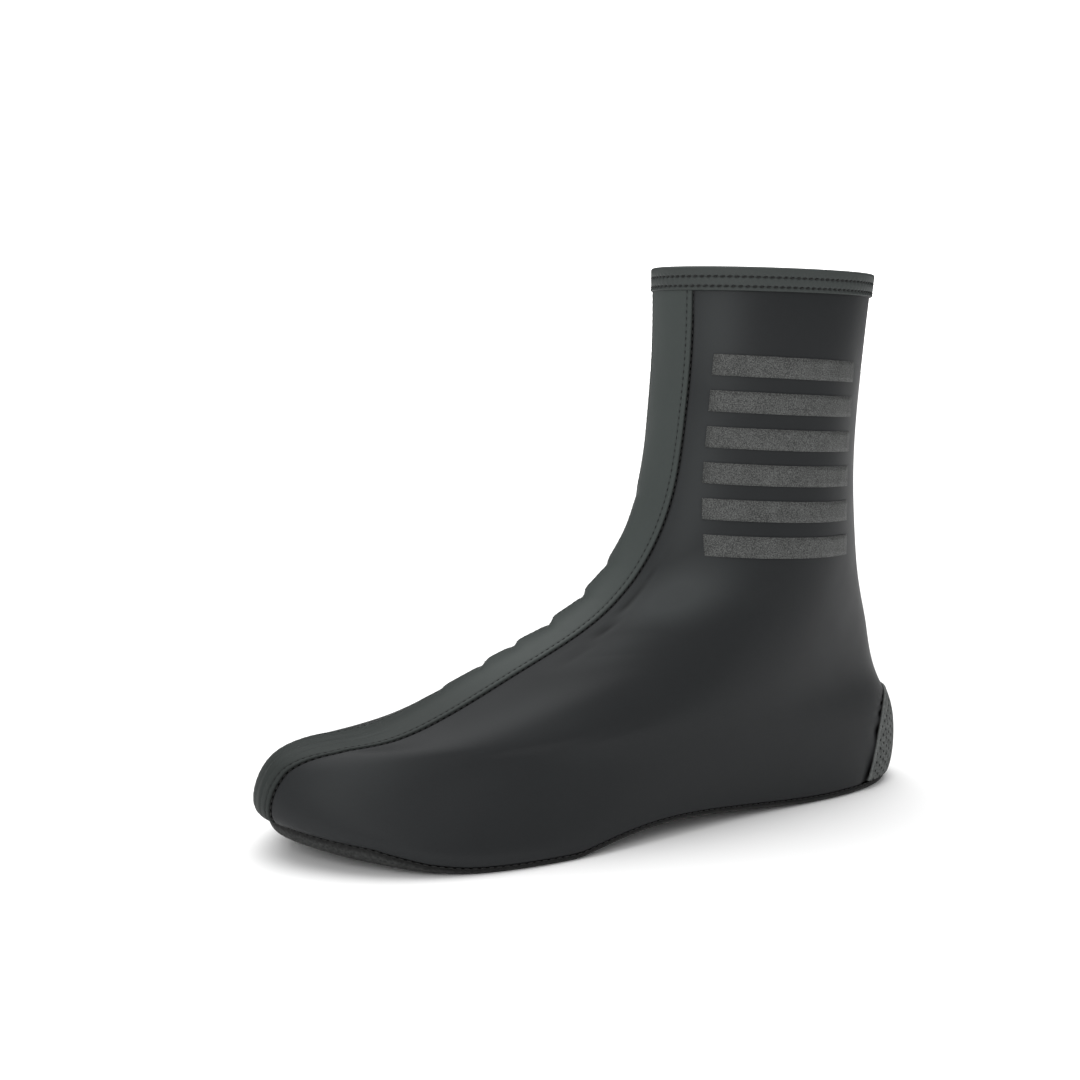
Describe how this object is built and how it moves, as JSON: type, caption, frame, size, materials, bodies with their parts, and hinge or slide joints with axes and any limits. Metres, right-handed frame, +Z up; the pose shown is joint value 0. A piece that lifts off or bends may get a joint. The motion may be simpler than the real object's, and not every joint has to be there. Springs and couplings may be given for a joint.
{
  "type": "cycling overshoe",
  "caption": "Tall-shafted cycling overshoe: a hollow coated-fabric cover, open at the collar and through the sole, with a front panel, hem, heel patch and reflective bars.",
  "frame": {"origin": "middle of the overall outline seen from above, on the floor", "axes": "+X towards the heel, -X towards the toe, +Y to the inner side of this left foot, +Z up the shaft"},
  "size_m": [0.287, 0.1084, 0.219],
  "materials": {
    "coated_stretch_fabric": "smooth satin coating",
    "sole_fabric": "grainy, matt",
    "front_panel_fabric": "smooth satin coating",
    "perforated_patch": "matt, perforated",
    "hem_fabric": "smooth satin coating",
    "reflective_film": "fine glass-bead grain"
  },
  "bodies": {
    "root": {"upper": "coated_stretch_fabric", "sole": "sole_fabric", "front_panel": "front_panel_fabric", "heel_patch": "perforated_patch", "collar_hem": "hem_fabric", "reflective_bar_1": "reflective_film", "reflective_bar_2": "reflective_film", "reflective_bar_3": "reflective_film", "reflective_bar_4": "reflective_film", "reflective_bar_5": "reflective_film", "reflective_bar_6": "reflective_film"}
  },
  "joints": []
}
